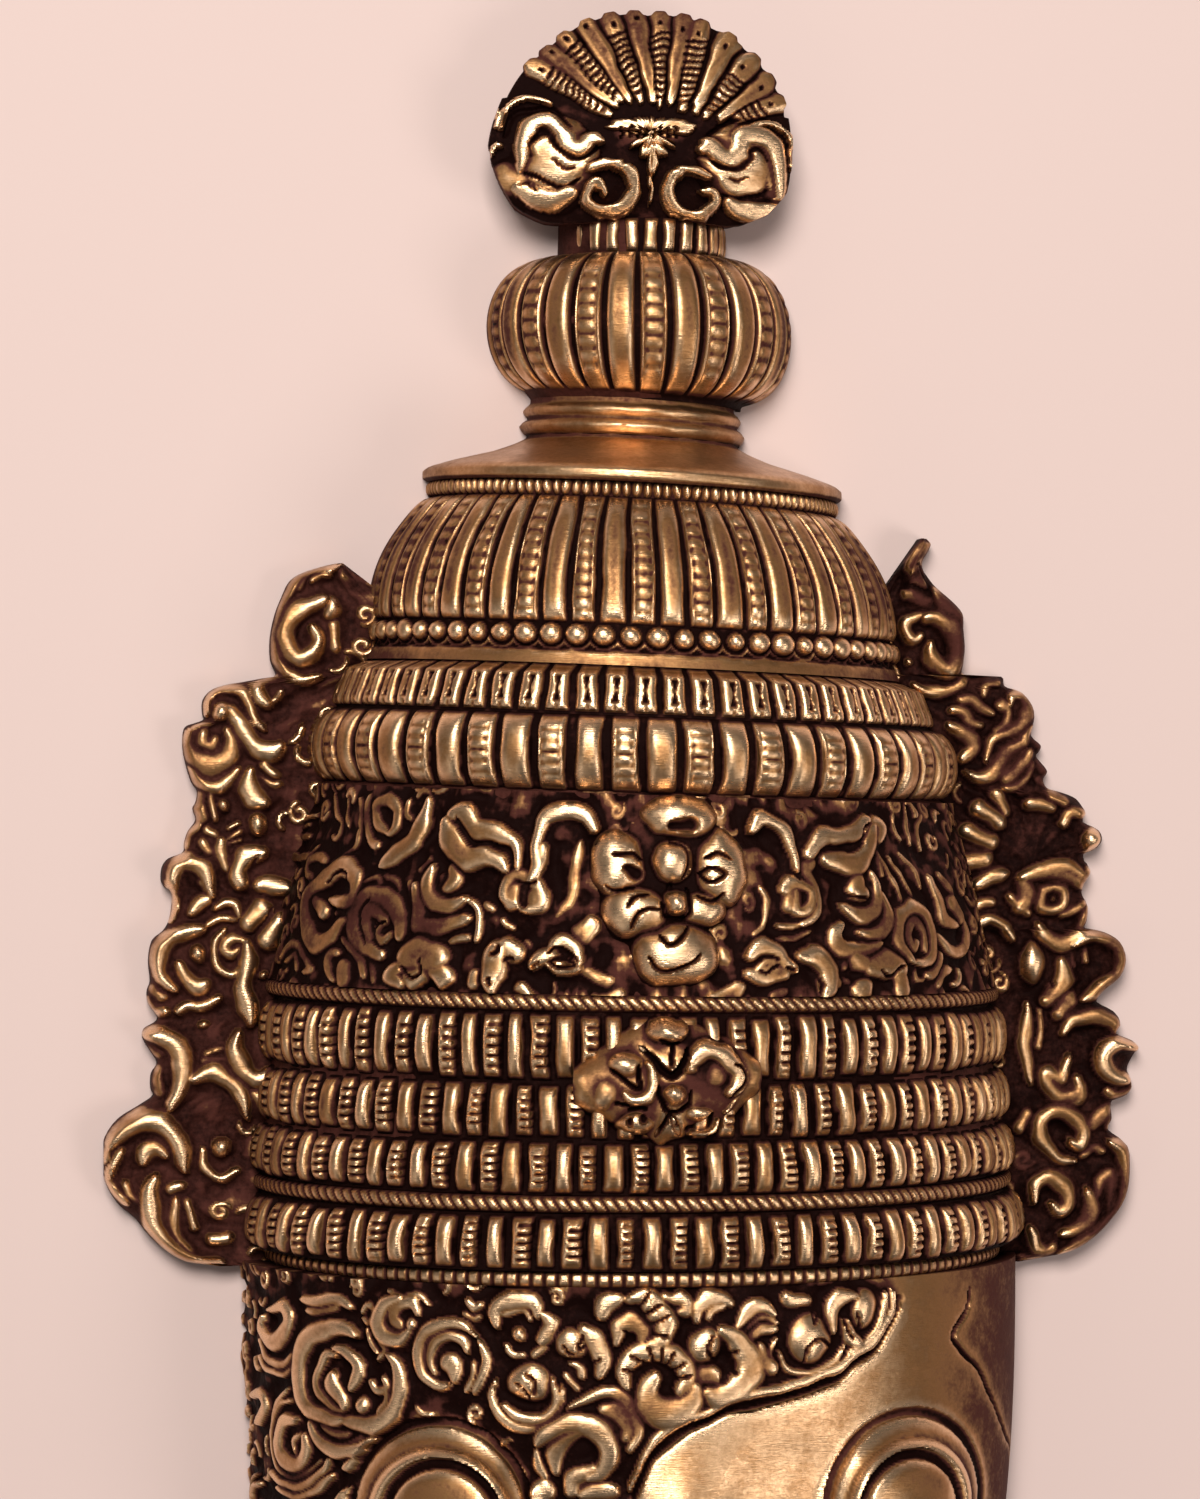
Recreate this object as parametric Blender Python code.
# A brass deity mask: one hollow casting, lying on its open back, crown towards +Y.
# Lengths are in metres. X runs across the mask, Y from chin to crown tip, Z out of the face.
# The origin lies in the plane that the rim rests on, under the middle of the mask.

import math

import bmesh
import bpy
from mathutils import Vector

# Casting
WALL = 0.004  # thickness of the cast shell
CORE_COLUMNS = 12  # facets round the hollow
CORE_HEIGHTS = (-0.010, 0.040, 0.064, 0.078, 0.092, 0.105)  # its rows under the crown
LIFT = 0.0004  # the wings and the finial's head hang this far above the plane of the rim
UNDERSIDE_STEP = 0.0005  # neighbouring lobes of a wing differ by this underneath
BITE = 0.0012  # how deep a raised motif is rooted in the metal under it

# Face
HAIRLINE = -0.0522  # height of the lowest rope's lower edge
CHIN_TIP = -0.2246  # where the outline would close; the lowest row stands just short of it
FACE_HALF_WIDTH = 0.0855
FACE_DEPTH = 0.066
FACE_MIDDLE = 0.004  # the features sit a little to the right of the crown's middle
FACE_COLUMNS = 30
FACE_ROWS = 24
LOWEST_ROW = 0.985  # share of the way from the hairline to the chin tip
ROW_SPREAD = 0.92  # under 1 sets the rows closer together at the chin
WIDTH_TAPER = 2.6  # higher keeps the cheeks wide for longer on the way down to the chin
DEPTH_TAPER = 5.5
EYE_SPREAD = 0.050
EYE_HEIGHT = -0.101
NOSE_ROOT_HEIGHT = -0.081
NOSE_TIP_HEIGHT = -0.146
NOSE_HALF_WIDTHS = (0.009, 0.016)  # at the root and at the tip
NOSE_RISE = 0.017
CHEEK_HEIGHT = -0.142
MOUTH_HEIGHT = -0.172
MOUTH_HALF_WIDTH = 0.024
CHIN_HEIGHT = -0.201
# Soft forms of the face: across from its middle, height, half width, half height and rise
PAIRED_FORMS = (
    (0.0125, NOSE_TIP_HEIGHT + 0.001, 0.0095, 0.0105, 0.0060),  # wings of the nose
    (EYE_SPREAD, EYE_HEIGHT, 0.0225, 0.0190, 0.0075),  # closed eyes
    (0.0240, EYE_HEIGHT, 0.0140, 0.0160, -0.0030),  # hollows beside the nose
    (EYE_SPREAD, CHEEK_HEIGHT, 0.0300, 0.0300, 0.0040),  # cheeks
)
MIDDLE_FORMS = (
    (0.0, MOUTH_HEIGHT, MOUTH_HALF_WIDTH * 1.35, 0.0220, 0.0070),  # the swell under both lips
    (0.0, MOUTH_HEIGHT + 0.0055, MOUTH_HALF_WIDTH, 0.0070, 0.0032),  # upper lip
    (0.0, MOUTH_HEIGHT - 0.0060, MOUTH_HALF_WIDTH * 0.82, 0.0080, 0.0036),  # lower lip
    (0.0, CHIN_HEIGHT, 0.0260, 0.0200, 0.0080),  # chin
)

# Crown courses, from the hairline up
STEP = 0.0003  # height in which one course steps out or back to the next
# The crests of a course are the shares of its height between which it stands out in full
LOWEST_ROPE = (0.0800, 0.0660)
PLAIN_COLUMNS = 24  # facets round a plain row
ROPE_HEIGHT = 0.0034
ROPE_STAND = 0.0015
BAND_HEIGHTS = (0.0118, 0.0112, 0.0122, 0.0142)  # lowest first
BAND_SECTIONS = ((0.0845, 0.0685), (0.0828, 0.0680), (0.0812, 0.0670), (0.0800, 0.0662))
BAND_STAND = 0.0036
BAND_LOZENGES = 40
BAND_CRESTS = (0.16, 0.84)
FRIEZE_HEIGHT = 0.0417
FRIEZE_TOP = (0.0700, 0.0620)
TORUS_HEIGHT = 0.0162
TORUS_SECTION = (0.0665, 0.0605)
TORUS_STAND = 0.0062
TORUS_LOBES = 25
TORUS_CRESTS = (0.22, 0.78)
KEYHOLE_HEIGHT = 0.0106
KEYHOLE_SECTION = (0.0660, 0.0610)
KEYHOLE_STAND = 0.0016
KEYHOLE_TABLETS = 30
KEYHOLE_CRESTS = (0.10, 0.86)
LEDGE_HEIGHT = 0.0036
BEAD_HEIGHT = 0.0050
BEAD_SECTION = (0.0575, 0.0545)
BEAD_STAND = 0.0024
BEADS = 29
BEAD_CRESTS = (0.5,)
DOME_HEIGHT = 0.0274
DOME_SECTION = (0.0570, 0.0540)
DOME_TOP = (0.0445, 0.0430)
DOME_SWELL = 0.0034  # how far the dome bulges between its foot and its top
FLUTE_STAND = 0.0022
DOME_FLUTES = 26
DOME_CRESTS = (0.05, 0.5, 0.95)

# Finial
DISC_THICKNESS = 0.0028
DISC_SECTION = (0.0468, 0.0462)
DISC_CONE = 0.0070
NECK_SECTION = (0.0228, 0.0228)
NECK_HEIGHT = 0.0090
POT_HEIGHT = 0.0326
POT_RADIUS = 0.0318
POT_FLUTE_STAND = 0.0022
POT_FLUTES = 13
POT_CRESTS = (0.08, 0.26, 0.5, 0.74, 0.93)
COLLAR_HEIGHT = 0.0062
COLLAR_SECTION = (0.0170, 0.0170)
COLLAR_STUDS = 11
COLLAR_STAND = 0.0014
COLLAR_CRESTS = (0.2, 0.8)
HEAD_HALF_WIDTH = 0.0325
HEAD_HALF_HEIGHT = 0.0250
HEAD_DEPTH = 0.0200
HEAD_MIDDLE = 0.0200  # above the collar
BEAST_SIZE = (0.0125, 0.0105, 0.0230)
BEAST_PLACE = (0.0195, 0.0110)  # out from the middle, up from the collar
VOLUTE_RADIUS = 0.0062
VOLUTE_PLACE = (0.0085, 0.0085)
VOLUTE_RISE = 0.0070
BEAST_FOOT = HEAD_DEPTH * 0.45  # level that the beast heads stand on
VOLUTE_FOOT = HEAD_DEPTH * 0.92
FAN_HUB = 0.0150  # height of the point that the ribs spread from, above the collar
FAN_RADIUS = 0.0320
FAN_RIBS = 17
FAN_SWEEP = math.radians(168)
RIB_RISE = 0.0030
# Inner and outer end of a rib: share of the fan's radius, width, underside and top
RIB_ENDS = (
    (0.42, 0.0016, HEAD_DEPTH * 0.60, HEAD_DEPTH + RIB_RISE),
    (1.00, 0.0044, LIFT, HEAD_DEPTH * 0.62 + RIB_RISE),
)
FLANK = math.radians(7)  # the plain strip above the rim takes this much of each section's round
CROWN_SLOPE = 0.050  # the courses fall this much towards +X, at the disc
SLOPE_FULL = 0.118  # height at which the slope is full
SLOPE_END = (0.130, 0.055)  # height from which it fades out, and over what height

# Side wings: x, y, radius, turns and winding of each scroll, top to bottom
WING_THICKNESS = 0.0070
SCROLL_THICKNESS = 0.0092
SCROLL_RIDGE = 0.0030
LOBE_TAPER = (1.08, 0.94)  # a lobe at its foot and at its top, beside its scroll
RIDGE_REACH = 0.86  # radius of the ridge on a lobe, beside its scroll
LEFT_SCROLLS = (
    (-0.0686, 0.0865, 0.0106, 1.2, 1),
    (-0.0867, 0.0650, 0.0108, 1.2, -1),
    (-0.0895, 0.0490, 0.0078, 1.0, 1),
    (-0.0945, 0.0315, 0.0092, 1.0, -1),
    (-0.0956, 0.0124, 0.0104, 1.2, 1),
    (-0.0962, -0.0075, 0.0094, 1.0, -1),
    (-0.1052, -0.0292, 0.0114, 1.4, 1),
    (-0.0940, -0.0440, 0.0092, 1.0, -1),
)
RIGHT_SCROLLS = (
    (0.0680, 0.0895, 0.0098, 1.2, -1),
    (0.0820, 0.0670, 0.0112, 1.0, 1),
    (0.0925, 0.0430, 0.0110, 1.0, -1),
    (0.0958, 0.0250, 0.0092, 1.0, 1),
    (0.1020, 0.0105, 0.0092, 1.0, -1),
    (0.1046, -0.0086, 0.0096, 1.2, 1),
    (0.0990, -0.0265, 0.0106, 1.4, -1),
    (0.0975, -0.0405, 0.0114, 1.4, 1),
)

# Raised motifs laid on the crown and the brow: place round the front, height, radius, winding
MOTIF_RISE = 0.0026
# Of a spiral's radius: how much it closes in, half the width of its ridge, and where and by how
# much the ridge thickens to a bud
SPIRAL_CLOSING = 0.72
SPIRAL_HALF_WIDTH = 0.17
SPIRAL_BUD = (0.75, 1.35)
SPIRAL_TURNS = 1.3
LUMP_HEIGHT = 0.7  # of a lump's width
FRIEZE_SPIRALS = (
    (-0.0800, 0.0270, 0.0080, 1),
    (-0.0640, 0.0235, 0.0075, -1),
    (-0.0300, 0.0300, 0.0046, -1),
    (0.0360, 0.0270, 0.0046, 1),
    (0.0640, 0.0210, 0.0085, -1),
)
FRIEZE_LUMPS = (
    (-0.0520, 0.0155, 0.0080),
    (-0.0345, 0.0145, 0.0066),
    (-0.0215, 0.0160, 0.0056),
    (-0.0460, 0.0400, 0.0090),
    (0.0215, 0.0150, 0.0056),
    (0.0335, 0.0140, 0.0066),
    (0.0500, 0.0130, 0.0076),
    (0.0440, 0.0400, 0.0090),
)
# Necks, tails and stems of the frieze's creatures: place round the front and height of the
# start, length, heading at the start, how far it has turned half way and at the end, half width
FRIEZE_HOOKS = (
    (-0.0125, 0.0430, 0.0270, 150, 60, 150, 0.0021),
    (0.0125, 0.0430, 0.0270, 30, -60, -150, 0.0021),
    (-0.0420, 0.0400, 0.0200, 250, 50, -60, 0.0017),
    (0.0440, 0.0380, 0.0200, 290, -50, 60, 0.0017),
    (-0.0560, 0.0440, 0.0220, 220, 40, 120, 0.0016),
    (0.0570, 0.0440, 0.0220, 320, -40, -120, 0.0016),
)
MANE_CURLS = (
    (-0.0840, -0.0640, 0.0090, 1),
    (-0.0670, -0.0700, 0.0130, -1),
    (-0.0900, -0.0870, 0.0110, -1),
    (-0.0450, -0.0650, 0.0090, 1),
    (-0.0240, -0.0600, 0.0068, 1),
    (-0.0230, -0.0750, 0.0084, -1),
    (-0.0070, -0.0640, 0.0072, -1),
    (-0.0100, -0.0830, 0.0096, 1),
    (0.0080, -0.0700, 0.0082, 1),
    (0.0260, -0.0650, 0.0076, -1),
    (-0.0940, -0.1100, 0.0110, 1),
    (-0.0880, -0.1350, 0.0110, -1),
)
ROSETTE_MIDDLE = 0.0016
ROSETTE_HEIGHT = 0.0355
ROSETTE_PETALS = 5
ROSETTE_RING = 0.0100
ROSETTE_EYE = 0.0064
PETAL_SIZE = (0.0078, 0.0070, 0.0060)
PENDANT_DROP = 0.0170
EYE_STAND = 1.35  # the middle of the rosette rises this much more than its petals
PENDANT_GROWTH = (1.05, 1.00, 1.10)  # the pendant beside a petal
BOSS_MIDDLE = 0.0008
BOSS_HEIGHT = -0.0075
BOSS_SIZE = (0.0190, 0.0128, 0.0085)
BOSS_PETALS = 5
BOSS_SIDES = 11
BOSS_RING = 0.55  # its petals stand this share of its size from the middle
BOSS_PETAL = (0.36, 0.36, 1.18)  # size of a petal beside the boss

FACET_SHARE = 0.62  # share of the facets that is kept; they go first where the metal is plain
BRASS = (0.62, 0.42, 0.19, 1.0)


def blend(a, b, share):
    return a + (b - a) * share


def smooth(x):
    x = min(max(x, 0.0), 1.0)
    return x * x * (3 - 2 * x)


def leant(x, y, z):
    """The crown was set a little askew: its courses fall towards +X, most at the disc."""
    rise = smooth((y - HAIRLINE) / (SLOPE_FULL - HAIRLINE))
    fall = smooth((y - SLOPE_END[0]) / SLOPE_END[1])
    return Vector((x, y - x * CROWN_SLOPE * (rise - fall), z))


class Skin:
    """The mask's outside as rows of sections, stacked from the chin tip up."""

    def __init__(self):
        self.rows = []
        self.y = CHIN_TIP

    def row(self, section, columns, stand=0.0, relief=None):
        """A row at the present height. Every second column stands out by stand."""
        self.rows.append((self.y, section[0], section[1], columns, stand, relief))

    def course(self, height, lower, upper, crests, repeats, stand, swell=0.0):
        """A course that is plain at both edges and carved at the crests between them."""
        foot = self.y
        columns = 2 * repeats
        if self.rows[-1][0] < foot:
            self.row(lower, PLAIN_COLUMNS)
        for share in crests:
            self.y = foot + height * share
            bulge = swell * math.sin(math.pi * share)
            section = [blend(a, b, share) + bulge for a, b in zip(lower, upper)]
            self.row(section, columns, stand)
        self.y = foot + height
        self.row(upper, PLAIN_COLUMNS)

    def rope(self, section):
        """A thin raised line round the crown."""
        self.row(section, PLAIN_COLUMNS)
        self.y += ROPE_HEIGHT / 2
        self.row([side + ROPE_STAND for side in section], PLAIN_COLUMNS)
        self.y += ROPE_HEIGHT / 2
        self.row(section, PLAIN_COLUMNS)

    def section_at(self, y):
        """Half width and depth of the plain metal at height y."""
        y = min(max(y, self.rows[0][0]), self.rows[-1][0])
        below = max((r for r in self.rows if r[0] <= y), key=lambda r: r[0])
        above = min((r for r in self.rows if r[0] >= y), key=lambda r: r[0])
        share = (y - below[0]) / max(above[0] - below[0], 1e-9)
        return blend(below[1], above[1], share), blend(below[2], above[2], share)


def face_section(y):
    """Half width and depth of the bare face at height y, both closing in at the chin."""
    share = (y - HAIRLINE) / (CHIN_TIP - HAIRLINE)
    width = FACE_HALF_WIDTH * math.sqrt(max(1 - share**WIDTH_TAPER, 0.0))
    depth = FACE_DEPTH * math.sqrt(max(1 - share**DEPTH_TAPER, 0.0))
    return width, depth


def mound(x, y, half_width, half_height):
    """A smooth hill, 1 in the middle and 0 outside its ellipse."""
    inside = 1 - (x / half_width) ** 2 - (y / half_height) ** 2
    return smooth(inside) if inside > 0 else 0.0


def face_relief(x, y):
    """How far the features stand out of the bare face: nose, eyes, lips, cheeks and chin."""
    x -= FACE_MIDDLE
    along = (y - NOSE_ROOT_HEIGHT) / (NOSE_TIP_HEIGHT - NOSE_ROOT_HEIGHT)
    bridge = NOSE_RISE * smooth(along) * smooth((1.30 - along) / 0.30)
    half_width = blend(*NOSE_HALF_WIDTHS, min(max(along, 0.0), 1.0))
    rise = bridge * math.exp(-1.6 * (x / half_width) ** 2)
    for across, height, half_width, half_height, form in PAIRED_FORMS:
        rise += form * mound(abs(x) - across, y - height, half_width, half_height)
    for across, height, half_width, half_height, form in MIDDLE_FORMS:
        rise += form * mound(x - across, y - height, half_width, half_height)
    return rise


def shape_skin():
    """Stacks the whole outside, from the chin tip to the collar under the finial's head."""
    skin = Skin()
    for i in range(FACE_ROWS):
        share = LOWEST_ROW * (1 - i / FACE_ROWS) ** ROW_SPREAD
        skin.y = blend(HAIRLINE, CHIN_TIP, share)
        skin.row(face_section(skin.y), FACE_COLUMNS, relief=face_relief)

    skin.y = HAIRLINE
    skin.rope(LOWEST_ROPE)
    for i, height in enumerate(BAND_HEIGHTS):
        lower = BAND_SECTIONS[i]
        upper = BAND_SECTIONS[min(i + 1, len(BAND_SECTIONS) - 1)]
        skin.y += STEP if i < 2 else 0.0
        skin.course(height, lower, upper, BAND_CRESTS, BAND_LOZENGES, BAND_STAND)
        if i == 0:
            skin.y += STEP
            skin.rope(upper)
    skin.y += STEP
    skin.rope(BAND_SECTIONS[-1])

    skin.y += FRIEZE_HEIGHT
    skin.row(FRIEZE_TOP, PLAIN_COLUMNS)
    skin.y += STEP
    sides = (TORUS_SECTION, KEYHOLE_SECTION)
    skin.course(TORUS_HEIGHT, *sides, TORUS_CRESTS, TORUS_LOBES, TORUS_STAND)
    sides = (KEYHOLE_SECTION, BEAD_SECTION)
    skin.course(KEYHOLE_HEIGHT, *sides, KEYHOLE_CRESTS, KEYHOLE_TABLETS, KEYHOLE_STAND)
    skin.y += LEDGE_HEIGHT
    skin.course(BEAD_HEIGHT, BEAD_SECTION, DOME_SECTION, BEAD_CRESTS, BEADS, BEAD_STAND)
    sides = (DOME_SECTION, DOME_TOP)
    skin.course(DOME_HEIGHT, *sides, DOME_CRESTS, DOME_FLUTES, FLUTE_STAND, DOME_SWELL)
    skin.y += STEP
    skin.rope(DOME_TOP)
    shape_finial(skin)
    return skin


def shape_finial(skin):
    """The flared disc, the ringed neck, the fluted pot and its studded collar."""
    skin.y += STEP
    skin.row(DISC_SECTION, PLAIN_COLUMNS)
    skin.y += DISC_THICKNESS
    skin.row(DISC_SECTION, PLAIN_COLUMNS)
    skin.y += DISC_CONE
    skin.row(NECK_SECTION, PLAIN_COLUMNS)
    skin.y += NECK_HEIGHT
    skin.row(NECK_SECTION, PLAIN_COLUMNS)
    foot = skin.y
    for share in POT_CRESTS:
        skin.y = foot + POT_HEIGHT * share
        swell = math.sqrt(max(1 - (2 * share - 1) ** 2, 0.0))
        radius = blend(COLLAR_SECTION[0], POT_RADIUS, swell)
        skin.row((radius, radius), 2 * POT_FLUTES, POT_FLUTE_STAND)
    skin.y = foot + POT_HEIGHT
    sides = (COLLAR_SECTION, COLLAR_SECTION)
    skin.course(COLLAR_HEIGHT, *sides, COLLAR_CRESTS, COLLAR_STUDS, COLLAR_STAND)


def row_points(row, bottom):
    """A D of points: over the front from left to right, both ends down at bottom."""
    y, half_width, depth, columns, stand, relief = row
    points = [leant(-half_width, y, bottom)]
    for i in range(columns + 1):
        angle = blend(FLANK, math.pi - FLANK, i / columns)
        out = stand if i % 2 else 0.0
        x = -(half_width + out) * math.cos(angle)
        z = (depth + out) * math.sin(angle)
        if relief:
            z += relief(x, y) * smooth(3 * math.sin(angle))
        points.append(leant(x, y, z))
    points.append(leant(half_width, y, bottom))
    return points


def stitch(bm, first, second):
    """Fills between two rows of vertices whose counts may differ, and closes them underneath."""
    i = j = 0
    while i < len(first) - 1 or j < len(second) - 1:
        next_i, next_j = (i + 1) / (len(first) - 1), (j + 1) / (len(second) - 1)
        if j == len(second) - 1 or (i < len(first) - 1 and next_i <= next_j):
            bm.faces.new((first[i], first[i + 1], second[j]))
            i += 1
        else:
            bm.faces.new((first[i], second[j + 1], second[j]))
            j += 1
    bm.faces.new((first[0], first[-1], second[-1], second[0]))


def build_solid(name, rows, bottom):
    """A closed solid over a stack of rows, flat underneath."""
    bm = bmesh.new()
    lines = [[bm.verts.new(p) for p in row_points(row, bottom)] for row in rows]
    for lower, upper in zip(lines, lines[1:]):
        stitch(bm, lower, upper)
    bm.faces.new(lines[0])
    bm.faces.new(lines[-1])
    bmesh.ops.triangulate(bm, faces=bm.faces)
    bmesh.ops.recalc_face_normals(bm, faces=bm.faces)
    return make_object(name, bm)


def core_rows(skin):
    """Rows of the casting core: the plain sections less the wall, at a few heights."""
    chin = skin.rows[0][0]
    disc = max(row[0] for row in skin.rows if row[1] == DISC_SECTION[0])
    pot = disc + DISC_CONE + NECK_HEIGHT
    heights = [chin + WALL]
    heights += [blend(chin, HAIRLINE, share) for share in (0.08, 0.15, 0.24, 0.36, 0.52, 0.76)]
    heights += [HAIRLINE, *CORE_HEIGHTS]
    heights += [disc - 1.4 * WALL, disc + DISC_CONE, pot]
    heights += [pot + POT_HEIGHT * share for share in (0.30, 0.50, 0.70)]
    rows = []
    for y in heights:
        around = [skin.section_at(y + step) for step in (-WALL, 0.0, WALL)]
        half_width = min(section[0] for section in around) - WALL
        depth = min(section[1] for section in around) - WALL
        rows.append((y, half_width, depth, CORE_COLUMNS, 0.0, None))
    return rows


def make_object(name, bm):
    mesh = bpy.data.meshes.new(name)
    bm.to_mesh(mesh)
    bm.free()
    obj = bpy.data.objects.new(name, mesh)
    bpy.context.scene.collection.objects.link(obj)
    return obj


def as_cutter(obj):
    """Marks a helper that the modifiers use and that is no piece of the mask."""
    obj.hide_render = True
    obj.display_type = "WIRE"
    return obj


class Carving:
    """Raised motifs, kept in one collection that is joined to the shell in a single union."""

    def __init__(self, skin):
        self.skin = skin
        self.collection = bpy.data.collections.new("carving")
        bpy.context.scene.collection.children.link(self.collection)

    def add(self, name, bm):
        bmesh.ops.recalc_face_normals(bm, faces=bm.faces)
        obj = make_object(name, bm)
        bpy.context.scene.collection.objects.unlink(obj)
        self.collection.objects.link(obj)
        as_cutter(obj)

    def on_skin(self, arc, y, lift):
        """The point at an arc from the middle line, at height y, lift above the plain metal."""
        half_width, depth = self.skin.section_at(y)
        angle = 2 * arc / (half_width + depth)
        normal = Vector((math.sin(angle) * depth, 0.0, math.cos(angle) * half_width)).normalized()
        point = Vector((half_width * math.sin(angle), y, depth * math.cos(angle)))
        if y < HAIRLINE:
            point.z += face_relief(point.x, y) * smooth(3 * math.cos(angle))
        point += normal * lift
        return leant(*point)

    def flat(self, height):
        """Places motifs on a level face at this height."""
        return lambda x, y, lift: Vector((x, y, height + lift))

    def dome(self, name, x, y, size, place, sides=7):
        """A half-round lump that keeps to the surface."""
        bm = bmesh.new()
        bmesh.ops.create_uvsphere(bm, u_segments=sides, v_segments=4, radius=1.0)
        for vert in bm.verts:
            dx, dy, dz = vert.co.x * size[0], vert.co.y * size[1], vert.co.z
            rise = dz * size[2] if dz > 0 else dz * BITE * 2
            vert.co = place(x + dx, y + dy, rise)
        self.add(name, bm)

    def ridge(self, name, path, rise, place):
        """A three-sided ridge, rooted in the metal. Its path holds points and half widths."""
        bm = bmesh.new()
        rings = []
        for i, (point, half) in enumerate(path):
            ahead = path[min(i + 1, len(path) - 1)][0]
            behind = path[max(i - 1, 0)][0]
            along = (ahead - behind).normalized()
            across = Vector((-along.y, along.x)) * half
            corners = ((point + across, -BITE), (point, rise), (point - across, -BITE))
            rings.append([bm.verts.new(place(p.x, p.y, lift)) for p, lift in corners])
        for a, b in zip(rings, rings[1:]):
            for k in range(3):
                bm.faces.new((a[k], a[(k + 1) % 3], b[(k + 1) % 3], b[k]))
        bm.faces.new(rings[0])
        bm.faces.new(rings[-1])
        bmesh.ops.triangulate(bm, faces=bm.faces)
        self.add(name, bm)

    def spiral(self, name, x, y, radius, turns, winding, rise, place, steps=8):
        """A ridge wound inwards that ends in a thicker bud."""
        path = []
        for i in range(steps + 1):
            share = i / steps
            angle = winding * (2 * math.pi * turns * share) + math.pi / 2
            reach = radius * (1 - SPIRAL_CLOSING * share)
            half = radius * SPIRAL_HALF_WIDTH * (1.0 if share < SPIRAL_BUD[0] else SPIRAL_BUD[1])
            point = Vector((x + reach * math.cos(angle), y + reach * math.sin(angle)))
            path.append((point, half))
        self.ridge(name, path, rise, place)

    def hook(self, name, x, y, length, heading, turned_half, turned, half, rise, place, steps=6):
        """A ridge that bends as it goes, thin at both ends."""
        path = []
        point = Vector((x, y))
        for i in range(steps + 1):
            share = i / steps
            if share < 0.5:
                turn = blend(0, turned_half, 2 * share)
            else:
                turn = blend(turned_half, turned, 2 * share - 1)
            angle = math.radians(heading + turn)
            path.append((point.copy(), half * (0.5 + 0.5 * math.sin(math.pi * share))))
            point += Vector((math.cos(angle), math.sin(angle))) * length / steps
        self.ridge(name, path, rise, place)


def carve_crown(carving):
    """Spirals and creatures of the frieze, its rosette and the boss on the bands below."""
    place = carving.on_skin
    for i, (arc, y, radius, winding) in enumerate(FRIEZE_SPIRALS):
        turns = SPIRAL_TURNS
        carving.spiral(f"frieze_spiral_{i}", arc, y, radius, turns, winding, MOTIF_RISE, place)
    for i, (arc, y, size) in enumerate(FRIEZE_LUMPS):
        carving.dome(f"frieze_lump_{i}", arc, y, (size, size * LUMP_HEIGHT, MOTIF_RISE), place)
    for i, (*shape, half) in enumerate(FRIEZE_HOOKS):
        carving.hook(f"frieze_hook_{i}", *shape, half, MOTIF_RISE, place)
    for i in range(ROSETTE_PETALS):
        angle = math.pi / 2 + 2 * math.pi * i / ROSETTE_PETALS
        x = ROSETTE_MIDDLE + ROSETTE_RING * math.cos(angle)
        y = ROSETTE_HEIGHT + ROSETTE_RING * math.sin(angle)
        carving.dome(f"rosette_petal_{i}", x, y, PETAL_SIZE, place)
    eye = (ROSETTE_EYE, ROSETTE_EYE, PETAL_SIZE[2] * EYE_STAND)
    carving.dome("rosette_eye", ROSETTE_MIDDLE, ROSETTE_HEIGHT, eye, place)
    pendant = [size * growth for size, growth in zip(PETAL_SIZE, PENDANT_GROWTH)]
    lowest = ROSETTE_HEIGHT - PENDANT_DROP
    carving.dome("rosette_pendant", ROSETTE_MIDDLE, lowest, pendant, place)
    carving.dome("boss", BOSS_MIDDLE, BOSS_HEIGHT, BOSS_SIZE, place, sides=BOSS_SIDES)
    for i in range(BOSS_PETALS):
        angle = math.pi / 2 + 2 * math.pi * i / BOSS_PETALS
        x = BOSS_MIDDLE + BOSS_RING * BOSS_SIZE[0] * math.cos(angle)
        y = BOSS_HEIGHT + BOSS_RING * BOSS_SIZE[1] * math.sin(angle)
        petal = [size * share for size, share in zip(BOSS_SIZE, BOSS_PETAL)]
        carving.dome(f"boss_petal_{i}", x, y, petal, place, sides=6)


def carve_mane(carving):
    """Curls over the brow and down the left cheek."""
    place = carving.on_skin
    for i, (arc, y, radius, winding) in enumerate(MANE_CURLS):
        turns = SPIRAL_TURNS
        carving.spiral(f"curl_{i}", arc, y, radius, turns, winding, MOTIF_RISE, place)


def carve_wings(carving):
    """Both pierced-looking wings: a plate behind, and a thick scroll at each lobe of its edge."""
    for side, scrolls in (("left", LEFT_SCROLLS), ("right", RIGHT_SCROLLS)):
        outer = [Vector((x, y)) for x, y, *_ in scrolls]
        inner = []
        for x, y, *_ in reversed(scrolls):
            reach = carving.skin.section_at(y)[0] - 0.5 * WALL
            inner.append(Vector((math.copysign(reach, x), y)))
        bm = bmesh.new()
        underside = LIFT + 2 * UNDERSIDE_STEP
        outline = [bm.verts.new((p.x, p.y, underside)) for p in outer + inner]
        plate = bm.faces.new(outline)
        raised = bmesh.ops.extrude_face_region(bm, geom=[plate])["geom"]
        for vert in (v for v in raised if isinstance(v, bmesh.types.BMVert)):
            vert.co.z = WING_THICKNESS
        carving.add(f"{side}_wing", bm)
        for i, (x, y, radius, turns, winding) in enumerate(scrolls):
            bm = bmesh.new()
            underside = LIFT + UNDERSIDE_STEP * (i % 2)
            height = SCROLL_THICKNESS - underside
            foot, top = (radius * taper for taper in LOBE_TAPER)
            bmesh.ops.create_cone(
                bm, cap_ends=True, segments=10, radius1=foot, radius2=top, depth=height
            )
            centre = Vector((x, y, height / 2 + underside))
            bmesh.ops.translate(bm, verts=bm.verts, vec=centre)
            carving.add(f"{side}_lobe_{i}", bm)
            place = carving.flat(SCROLL_THICKNESS)
            ridge = radius * RIDGE_REACH
            carving.spiral(
                f"{side}_scroll_{i}", x, y, ridge, turns, winding, SCROLL_RIDGE, place
            )


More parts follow.
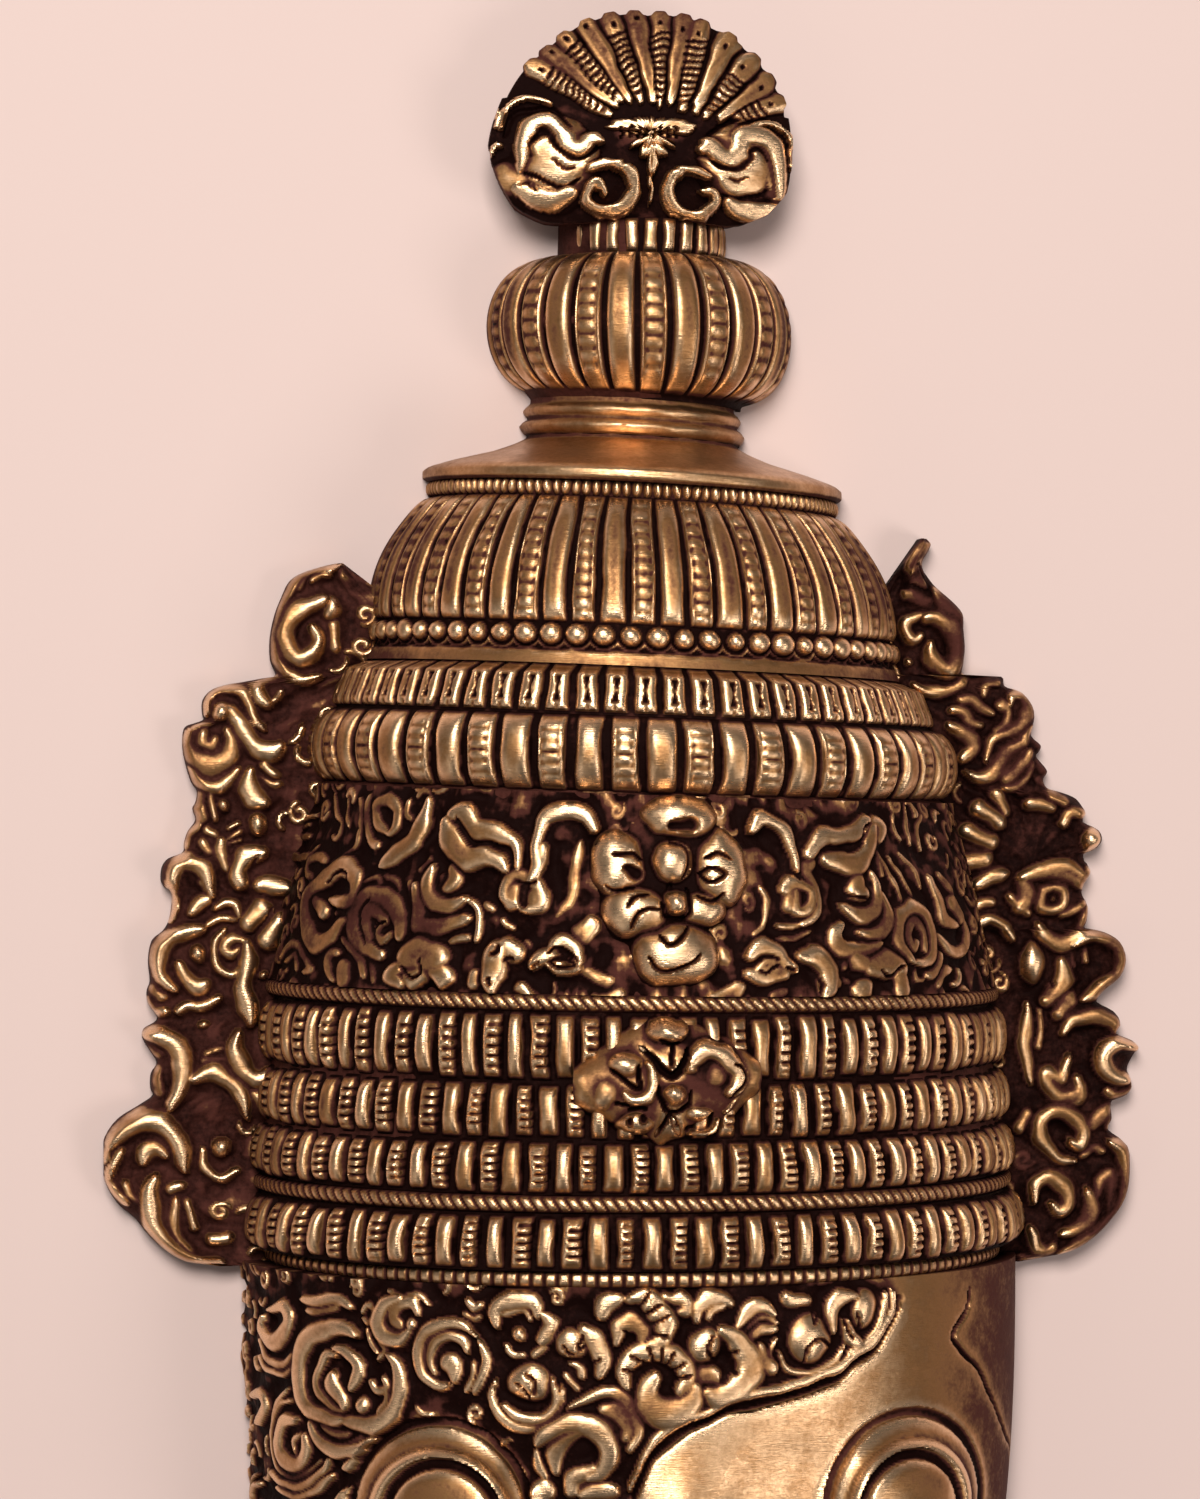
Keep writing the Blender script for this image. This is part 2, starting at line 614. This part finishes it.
def carve_head(carving):
    """The finial's head: a rounded body, a fan of ribs, two beast heads and their volutes."""
    collar_top = carving.skin.rows[-1][0]
    bm = bmesh.new()
    bmesh.ops.create_uvsphere(bm, u_segments=8, v_segments=16, radius=1.0)
    for vert in bm.verts:
        x, z, y = vert.co
        height = collar_top + HEAD_MIDDLE + y * HEAD_HALF_HEIGHT
        rise = LIFT + max(z, 0.0) * (HEAD_DEPTH - LIFT)
        vert.co = Vector((x * HEAD_HALF_WIDTH, height, rise))
    bmesh.ops.remove_doubles(bm, verts=bm.verts, dist=0.00001)
    carving.add("head_body", bm)

    hub = Vector((0.0, collar_top + FAN_HUB, 0.0))
    for i in range(FAN_RIBS):
        angle = math.pi / 2 + FAN_SWEEP * (i / (FAN_RIBS - 1) - 0.5)
        along = Vector((math.cos(angle), math.sin(angle), 0.0))
        across = Vector((-along.y, along.x, 0.0))
        bm = bmesh.new()
        rings = []
        for reach, width, low, high in RIB_ENDS:
            middle = hub + along * FAN_RADIUS * reach
            half = across * width / 2
            corners = (middle - half * 1.2, middle - half, middle + half, middle + half * 1.2)
            lifts = (low, high, high, low)
            rings.append([bm.verts.new((c.x, c.y, z)) for c, z in zip(corners, lifts)])
        for ring in rings:
            bm.faces.new(ring)
        a, b = rings
        for k in range(4):
            bm.faces.new((a[k], a[(k + 1) % 4], b[(k + 1) % 4], b[k]))
        carving.add(f"fan_rib_{i}", bm)

    for side, name in ((-1, "left"), (1, "right")):
        x, y = side * BEAST_PLACE[0], collar_top + BEAST_PLACE[1]
        carving.dome(f"{name}_beast", x, y, BEAST_SIZE, carving.flat(BEAST_FOOT), sides=10)
        x, y = side * VOLUTE_PLACE[0], collar_top + VOLUTE_PLACE[1]
        place = carving.flat(VOLUTE_FOOT)
        turns = SPIRAL_TURNS
        carving.spiral(f"{name}_volute", x, y, VOLUTE_RADIUS, turns, side, VOLUTE_RISE, place)


def brass():
    material = bpy.data.materials.new("antique brass")
    material.use_nodes = True
    shader = material.node_tree.nodes["Principled BSDF"]
    shader.inputs["Base Color"].default_value = BRASS
    shader.inputs["Metallic"].default_value = 1.0
    shader.inputs["Roughness"].default_value = 0.34
    return material


def main():
    for obj in list(bpy.data.objects):
        bpy.data.objects.remove(obj)
    skin = shape_skin()
    mask = build_solid("mask", skin.rows, 0.0)
    mask.data.materials.append(brass())
    carving = Carving(skin)
    carve_crown(carving)
    carve_mane(carving)
    carve_wings(carving)
    carve_head(carving)

    join = mask.modifiers.new("join carving", "BOOLEAN")
    join.operation = "UNION"
    join.solver = "EXACT"
    join.operand_type = "COLLECTION"
    join.collection = carving.collection
    join.use_self = True
    hollow = mask.modifiers.new("hollow", "BOOLEAN")
    hollow.operation = "DIFFERENCE"
    hollow.solver = "EXACT"
    hollow.object = as_cutter(build_solid("core", core_rows(skin), -WALL))
    mask.modifiers.new("facets", "TRIANGULATE")
    thin = mask.modifiers.new("thin facets", "DECIMATE")
    thin.ratio = FACET_SHARE


main()
